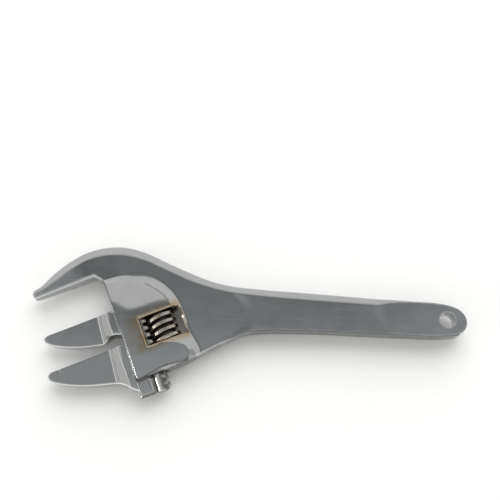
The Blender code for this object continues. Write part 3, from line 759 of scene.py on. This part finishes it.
def paint_body():
    points = wrench_points(body)
    (u, v), (x, y, z) = in_head(points[:, :2]), points.T
    past_u, past_v = (WINDOW_REACH[0] - u, u - WINDOW_REACH[1]), (WINDOW_DEPTH[0] - v, v - WINDOW_DEPTH[1])
    du, dv = np.maximum(*past_u), np.maximum(*past_v)
    from_window = np.where((du > 0) & (dv > 0), np.hypot(du, dv), np.maximum(du, dv))
    foot, crest = signed(foot_loop, points[:, :2]), signed(crest_loop, points[:, :2])
    edge, edge_values = nearest([body_loop], points[:, :2])
    on_top = np.abs(z) > ON_TOP
    side_wall = edge < WALL
    near_side = y < HANDLE_MIDDLE
    bevel_width = edge_values[:, 1]

    spread_by = ((past_v[0], 6.2), (past_u[0], 3.4), (past_u[1], 2.6), (past_v[1], 1.2))
    stain = sum((np.clip(past, 0.0, None) / size) ** 2 for past, size in spread_by)
    tint = most(
        np.where(from_window > 0.0, 0.95 * np.exp(-1.1 * stain), 0.8),
        0.8 * line(np.abs(v - 32.4), 0.9) * (from_window < 1.5),
        0.8 * line(from_window - 0.3, 0.4),
    )

    # Painted shade on the faces: dark lines along the plate's foot and crest and the bevel's fold, and a
    # darker skirt under the plate.
    on_faces = most(
        0.5 * line(foot, 0.35) * (u < 59.0),
        0.55 * line(crest, 0.3) * ((u > 52.0) | ((u < 28.0) & (v > 20.0))),
        0.95 * line(crest, 0.35) * (u > 57.5) * (v < 28.0),
        0.25 * line(edge - bevel_width, 0.35) * (bevel_width > 2.0),
        0.42 * step(-crest, 0.0, 0.3) * (u > 56.0) * (v < 32.0),
    )
    # Then painted shade on the handle's near wall and edge, the head's end, the window, the channel and the
    # front edge.
    near_line = (edge < 0.3) & ~side_wall & near_side & (x < 188.0)
    head_end = (edge < 0.38) & (u > 60.0) & (v < 31.0) & (z > 0.0) & ~side_wall
    in_window = (from_window < 0.05) & (np.abs(z) < FLAT) & (v < 31.0)
    in_channel = (np.abs(z) < 4.5) & (u > 9.8) & (v > -0.5) & (v < 16.0) & (from_window > 0.0)
    front_edge = (edge < 0.42) & (v < 1.2) & ~side_wall & on_top
    shade_and_grime = most(
        np.where(on_top, on_faces, 0.0),
        0.4 * side_wall * near_side * step(x, 66.0, 74.0),
        0.95 * near_line * step(x, 62.0, 72.0),
        0.75 * side_wall * (u > 58.0) * (1.0 - step(v, 16.0, 19.0)),
        0.9 * head_end,
        0.9 * in_window,
        0.8 * in_channel * (edge > WALL),
        0.85 * front_edge * (u > 6.0) * (1.0 - step(u, 30.0, 38.0)),
    )

    ground = side_wall * ((np.abs(u) < 0.6) & (v < -3.0) | (u > 58.0))
    # Painted highlights: a bright line along the lower front edge, along the fixed jaw's gripping edge and
    # along the window's deep edge.
    front_line = line(edge - 0.2, 0.24) * (v < 1.2) * ~side_wall * on_top
    grip_line = (edge < 0.3) * ~side_wall * (np.abs(u) < 0.8) * (v < -3.0)
    painted_highlight = most(
        front_line * step(u, 38.0, 46.0) + 0.8 * grip_line,
        0.9 * line(from_window - 0.35, 0.3) * (v > 31.5),
    )
    paint(body, tint, shade_and_grime, ground, painted_highlight)


def paint_jaw(piece, ridge, outline, back_shade):
    """Painted shade in the tooth grooves, where the rod meets its web, at the small web's end and on the
    back wall, and painted highlights along ridges and edges.
    """
    points = wrench_points(piece)
    (u, v), z = in_head(points[:, :2]), points[:, 2]
    phase = (u + RACK_SLANT * z - RACK_FIRST_TOOTH) / PITCH - 0.5
    off = np.abs(phase - np.round(phase)) * PITCH
    in_groove = 1.0 - step(off, 1.0, 1.5)
    hidden = 1.0 - step(u, 58.0, 61.0)
    rod_edge = 0.6 * (1.0 - step(v, 7.6, 8.3)) * step(v, 6.8, 7.2) + 0.35 * step(v, 9.6, 10.6)
    back_wall = (np.abs(z) < 4.0) * step(v, -9.5, -6.5) * (v < -0.2) * (u > 33.0) * (u < 37.5)
    # Painted shade: tooth grooves, the rod's edges, the small web's end and the large jaw's back wall
    # beside the gap.
    shade_and_grime = most(
        in_groove * step(v, 10.8, 12.2) * (0.85 + 0.1 * hidden),
        rod_edge * (1.0 - hidden),
        0.85 * step(u, 68.3, 69.0) * (v < 6.2),
        back_shade * back_wall,
    )
    edge, _ = nearest([outline], points[:, :2])
    lower = (u - ridge[0] > 3.5) & (v < -0.4)
    # Painted highlights along the blade's ridge, the shank's fold and the lower edges.
    jaw_highlight = most(
        line(v - ridge_depth(ridge, u), 0.3),
        0.8 * line(v - SHANK_FOLD, 0.3),
        0.9 * lower * line(edge - 0.25, 0.3) * (edge > WALL),
    )
    tint = 0.55 * line(v - 7.0, 0.7) + 0.25 * step(v, 9.0, 12.0)
    paint(piece, tint, shade_and_grime, painted_highlight=jaw_highlight * (np.abs(z) > 1.5) * (v < -0.4))


def paint_worm():
    points = wrench_points(worm)
    across = points[:, :2] - in_wrench(WORM_REACH, WORM_DEPTH)
    from_axis = np.hypot(across @ V_AXIS, points[:, 2])
    # Painted shade darkens the thread's roots.
    paint(worm, tint=0.35, shade_and_grime=1.0 - step(from_axis, 5.5, 7.0))


paint_body()
paint_jaw(jaw_large, LARGE_RIDGE, large_loop, back_shade=0.7)
paint_jaw(jaw_small, SMALL_RIDGE, small_loop, back_shade=0.0)
paint_worm()
for piece in (axle, upper_spring, lower_spring):
    paint(piece, tint=0.1, shade_and_grime=0.15)


# ---------------------------------------------------------------- materials

# The first colour is for painted highlights; the third is the dark of painted shade, also used for a light
# even dirt on pins and springs.
HIGHLIGHT_COLOUR = (0.97, 0.965, 0.95)
TINT_COLOUR = (0.50, 0.365, 0.21)
SHADE_AND_GRIME_COLOUR = (0.035, 0.032, 0.028)
PIT_COLOUR = (0.22, 0.21, 0.2)
GROUND_SHADE = 0.72
MOTTLE_SHADE = 0.3
BRUSH_TURN = 0.35


def maths_in(tree):
    """A function that adds a maths node to a node tree. Its inputs are numbers or sockets."""
    def maths(operation, first, second):
        node = tree.nodes.new("ShaderNodeMath")
        node.operation = operation
        for socket, value in zip(node.inputs, (first, second)):
            if isinstance(value, float):
                socket.default_value = value
            else:
                tree.links.new(value, socket)
        return node.outputs["Value"]

    return maths


def chrome(name, base, roughness, wave=1.0, grain=1.0, mottle=0.0):
    """Bright plate over a forging: soft waves, fine grain, pits, and the painted layers. Noise scales
    are per metre and bump heights in metres."""
    material = bpy.data.materials.new(name)
    material.use_nodes = True
    nodes, links = material.node_tree.nodes, material.node_tree.links
    maths = maths_in(material.node_tree)
    shader = nodes["Principled BSDF"]
    shader.inputs["Metallic"].default_value = 1.0

    def noise(scale, detail, distortion=0.0, stretch=None):
        texture = nodes.new("ShaderNodeTexNoise")
        texture.inputs["Scale"].default_value = scale
        texture.inputs["Detail"].default_value = detail
        texture.inputs["Distortion"].default_value = distortion
        place = nodes.new("ShaderNodeTexCoord")
        source = place.outputs["Object"]
        if stretch:
            mapping = nodes.new("ShaderNodeMapping")
            mapping.inputs["Scale"].default_value = stretch
            mapping.inputs["Rotation"].default_value = (0.0, 0.0, BRUSH_TURN)
            links.new(source, mapping.inputs["Vector"])
            source = mapping.outputs["Vector"]
        links.new(source, texture.inputs["Vector"])
        return texture.outputs["Fac"]

    def spread(source, low, high, out_low, out_high):
        ranged = nodes.new("ShaderNodeMapRange")
        ranged.inputs["From Min"].default_value = low
        ranged.inputs["From Max"].default_value = high
        ranged.inputs["To Min"].default_value = out_low
        ranged.inputs["To Max"].default_value = out_high
        links.new(source, ranged.inputs["Value"])
        return ranged.outputs["Result"]

    def mix(factor, first, second):
        node = nodes.new("ShaderNodeMix")
        node.data_type = "RGBA"
        links.new(factor, node.inputs["Factor"])
        for socket, value in ((node.inputs["A"], first), (node.inputs["B"], second)):
            if isinstance(value, tuple):
                socket.default_value = (*value, 1.0)
            else:
                links.new(value, socket)
        return node.outputs["Result"]

    def painted(layer):
        node = nodes.new("ShaderNodeAttribute")
        node.attribute_name = layer
        return node.outputs["Fac"]

    def shaded(share):
        return tuple(min(1.0, c * share) for c in base)

    cloud = spread(noise(55.0, 3.0, 0.6), 0.3, 0.7, 0.0, 1.0)
    plain = mix(cloud, shaded(0.965), shaded(1.03))
    patchy = spread(noise(240.0, 4.0, 0.4), 0.25, 0.75, 0.55, 1.15)
    plain = mix(painted("ground"), plain, shaded(GROUND_SHADE))
    if mottle:
        blotch = spread(noise(1100.0, 3.0, 0.5), 0.42, 0.6, 0.0, mottle)
        plain = mix(blotch, plain, shaded(MOTTLE_SHADE))
    # Painted highlights brighten the colour here.
    plain = mix(painted("painted_highlight"), plain, HIGHLIGHT_COLOUR)
    tinted = mix(maths("MULTIPLY", painted("tint"), patchy), plain, TINT_COLOUR)
    # Painted shade darkens the colour here, in patches; on pins and springs the same layer is a light even
    # dirt.
    patchy_darkening = spread(noise(240.0, 4.0, 0.4), 0.25, 0.75, 0.8, 1.12)
    darkened = mix(maths("MULTIPLY", painted("shade_and_grime"), patchy_darkening), tinted, SHADE_AND_GRIME_COLOUR)
    specks = nodes.new("ShaderNodeTexVoronoi")
    specks.inputs["Scale"].default_value = 260.0
    links.new(nodes.new("ShaderNodeTexCoord").outputs["Object"], specks.inputs["Vector"])
    pit = spread(specks.outputs["Distance"], 0.035, 0.06, 1.0, 0.0)
    sparse = spread(noise(70.0, 2.0), 0.56, 0.62, 0.0, 1.0)
    pits = maths("MULTIPLY", pit, sparse)
    final = mix(maths("MULTIPLY", pits, 0.45), darkened, PIT_COLOUR)
    links.new(final, shader.inputs["Base Color"])

    scratches = spread(noise(700.0, 3.0, 0.0, (0.06, 1.0, 1.0)), 0.55, 0.75, 0.0, 0.06)
    grainy = spread(noise(1500.0, 2.0), 0.3, 0.7, -0.02 * grain, 0.03 * grain)
    cloudy = spread(noise(110.0, 3.0), 0.3, 0.7, -0.02, 0.035)
    rough = maths("ADD", maths("ADD", grainy, cloudy), scratches)
    rough = maths("ADD", rough, maths("MULTIPLY", painted("shade_and_grime"), 0.25))
    rough = maths("ADD", rough, roughness)
    links.new(rough, shader.inputs["Roughness"])

    def bump(source, height, before=None):
        node = nodes.new("ShaderNodeBump")
        node.inputs["Strength"].default_value = 1.0
        node.inputs["Distance"].default_value = height
        links.new(source, node.inputs["Height"])
        if before is not None:
            links.new(before, node.inputs["Normal"])
        return node.outputs["Normal"]

    waves = bump(noise(95.0, 1.5), 0.00005 * wave)
    fine = bump(noise(1300.0, 3.0), 0.0000016 * grain, waves)
    lines = bump(noise(900.0, 2.0, 0.0, (0.05, 1.0, 1.0)), 0.000001 * grain, fine)
    links.new(bump(pits, -0.00001, lines), shader.inputs["Normal"])
    return material


def dress(piece, material, body_name, slot_name, *nodes):
    piece.data.materials.clear()
    piece.data.materials.append(material)
    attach(piece, body_name)
    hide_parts(*nodes)


plate_chrome = chrome("forged_chrome", (0.62, 0.635, 0.635), 0.1)
jaw_chrome = chrome("jaw_chrome", (0.6, 0.61, 0.605), 0.1, wave=0.5)
worm_nickel = chrome("worm_nickel", (0.66, 0.655, 0.63), 0.22, wave=0.3, grain=1.5, mottle=0.7)
pin_steel = chrome("pin_steel", (0.42, 0.42, 0.42), 0.32, wave=0.2, grain=2.0)

dress(body, plate_chrome, "body", "body", "body")
dress(jaw_large, jaw_chrome, "jaw_large", "jaw_large_opening", "jaw_large_opening")
dress(jaw_small, jaw_chrome, "jaw_small", "jaw_small_opening", "jaw_small_opening")
dress(worm, worm_nickel, "worm", "worm_screw", "worm_screw")
dress(axle, pin_steel, "axle", "worm_axle", "worm_axle")
dress(upper_spring, pin_steel, "body", "upper_return_spring", "upper_return_spring")
dress(lower_spring, pin_steel, "body", "lower_return_spring", "lower_return_spring")
for piece, reach in zip((upper_spring, lower_spring), SPRING_REACHES):
    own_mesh(piece)


# ---------------------------------------------------------------- floor, light and camera

# From here on lengths are in metres.
FLOOR_HALF = 2.5
FLOOR_DROP = 0.0001
FLOOR_COLOUR = (0.92, 0.92, 0.915, 1.0)

floor_mesh = bpy.data.meshes.new("floor")
floor_corners = [(x * FLOOR_HALF, y * FLOOR_HALF, 0) for x, y in ((-1, -1), (1, -1), (1, 1), (-1, 1))]
floor_mesh.from_pydata(floor_corners, [], [(0, 1, 2, 3)])
floor = bpy.data.objects.new("floor", floor_mesh)
bpy.context.scene.collection.objects.link(floor)
floor.location.z = -FLOOR_DROP
paper = bpy.data.materials.new("floor_paper")
paper.use_nodes = True
paper_shader = paper.node_tree.nodes["Principled BSDF"]
paper_shader.inputs["Base Color"].default_value = FLOOR_COLOUR
paper_shader.inputs["Roughness"].default_value = 0.9
paper_shader.inputs["Specular IOR Level"].default_value = 0.1
floor_mesh.materials.append(paper)


# The sky is a pale dome with a dark elliptical panel high up, which the wrench's flats mirror.
# Stops are position and level. The panel's are along y and along x from -1 to 1.
PANEL_CENTRE = (-0.02, 0.19)
PANEL_RADII = (0.44, 0.235)
PANEL_EDGE = ((0.0, 1.0), (0.84, 1.0), (1.0, 0.0))
PANEL_ALONG_Y = (
    (0.0, 0.40), (0.165, 0.38), (0.195, 0.31), (0.23, 0.21), (0.26, 0.19), (0.31, 0.19), (0.37, 0.235),
    (0.42, 0.3),
)
PANEL_ALONG_X = (
    (0.0, 0.3), (0.31, 0.14), (0.345, 0.0), (0.37, 0.0), (0.415, 0.06), (0.5, 0.08), (0.55, 0.06),
    (0.63, 0.16),
)
PANEL_OFFSET = 0.05
DOME_BY_HEIGHT = ((0.0, 0.80), (0.12, 0.74), (0.5, 0.67), (0.86, 0.63), (1.0, 0.62))
DOME_COLOUR = (1.0, 0.995, 0.975)
PANEL_COLOUR = (0.955, 1.0, 1.025)


def studio_sky():
    world = bpy.data.worlds.new("studio")
    bpy.context.scene.world = world
    world.use_nodes = True
    nodes, links = world.node_tree.nodes, world.node_tree.links
    maths = maths_in(world.node_tree)
    background = nodes["Background"]
    place = nodes.new("ShaderNodeTexCoord")
    parts = nodes.new("ShaderNodeSeparateXYZ")
    links.new(place.outputs["Generated"], parts.inputs["Vector"])

    def ramp(source, stops):
        node = nodes.new("ShaderNodeValToRGB")
        elements = node.color_ramp.elements
        while len(elements) < len(stops):
            elements.new(0.5)
        for element, (at, level) in zip(elements, stops):
            element.position = at
            element.color = (level, level, level, 1.0)
        links.new(source, node.inputs["Fac"])
        return node.outputs["Color"]

    x, y, z = parts.outputs
    across = maths("DIVIDE", maths("SUBTRACT", x, PANEL_CENTRE[0]), PANEL_RADII[0])
    up = maths("DIVIDE", maths("SUBTRACT", y, PANEL_CENTRE[1]), PANEL_RADII[1])
    squares = maths("ADD", maths("MULTIPLY", across, across), maths("MULTIPLY", up, up))
    away = maths("SQRT", squares, 0.0)
    panel = maths("MULTIPLY", ramp(away, PANEL_EDGE), maths("GREATER_THAN", z, 0.0))
    along_x = ramp(maths("MULTIPLY", maths("ADD", x, 1.0), 0.5), PANEL_ALONG_X)
    over = maths("SUBTRACT", maths("ADD", ramp(y, PANEL_ALONG_Y), along_x), PANEL_OFFSET)
    around = ramp(z, DOME_BY_HEIGHT)

    def tone(colour, level):
        node = nodes.new("ShaderNodeVectorMath")
        node.operation = "SCALE"
        node.inputs[0].default_value = colour
        links.new(level, node.inputs["Scale"])
        return node.outputs["Vector"]

    final = nodes.new("ShaderNodeMix")
    final.data_type = "RGBA"
    links.new(panel, final.inputs["Factor"])
    links.new(tone(DOME_COLOUR, around), final.inputs["A"])
    links.new(tone(PANEL_COLOUR, over), final.inputs["B"])
    links.new(final.outputs["Result"], background.inputs["Color"])
    background.inputs["Strength"].default_value = 1.0


studio_sky()


def sun(name, azimuth, elevation, strength, angle, colour=(1.0, 1.0, 1.0), mirrored=True):
    """Angles are in degrees, and azimuth is counter-clockwise from +X."""
    light = bpy.data.lights.new(name, "SUN")
    light.energy, light.angle, light.color = strength, math.radians(angle), colour
    made = bpy.data.objects.new(name, light)
    a, e = math.radians(azimuth), math.radians(elevation)
    toward = Vector((math.cos(e) * math.cos(a), math.cos(e) * math.sin(a), math.sin(e)))
    made.rotation_euler = toward.to_track_quat("Z", "Y").to_euler()
    made.visible_glossy = mirrored
    bpy.context.scene.collection.objects.link(made)


# The broad fill keeps the floor pale and is not mirrored in the chrome. The other gives its glints.
sun("floor_fill", azimuth=80.0, elevation=42.0, strength=2.2, angle=70.0, mirrored=False)
sun("window_left", azimuth=196.5, elevation=12.5, strength=0.32, angle=11.0, colour=(1.0, 0.995, 0.98))

LENS, SENSOR = 54.0, 36.0
CLIP = (0.01, 20.0)
EYE = Vector((0.00715, -0.08894, 0.39258))
TARGET = Vector((-0.00117, 0.04333, 0.0077))
UPWARD = Vector((-0.0628, 0.998, 0.0))

camera_data = bpy.data.cameras.new("camera")
camera_data.lens, camera_data.sensor_width = LENS, SENSOR
camera_data.clip_start, camera_data.clip_end = CLIP
camera = bpy.data.objects.new("camera", camera_data)
bpy.context.scene.collection.objects.link(camera)
back = (EYE - TARGET).normalized()
right = UPWARD.cross(back).normalized()
above = back.cross(right)
camera.matrix_world = Matrix.Translation(EYE) @ Matrix((right, above, back)).transposed().to_4x4()
bpy.context.scene.camera = camera
bpy.context.scene.view_settings.view_transform = "Standard"
bpy.context.scene.view_settings.look = "None"
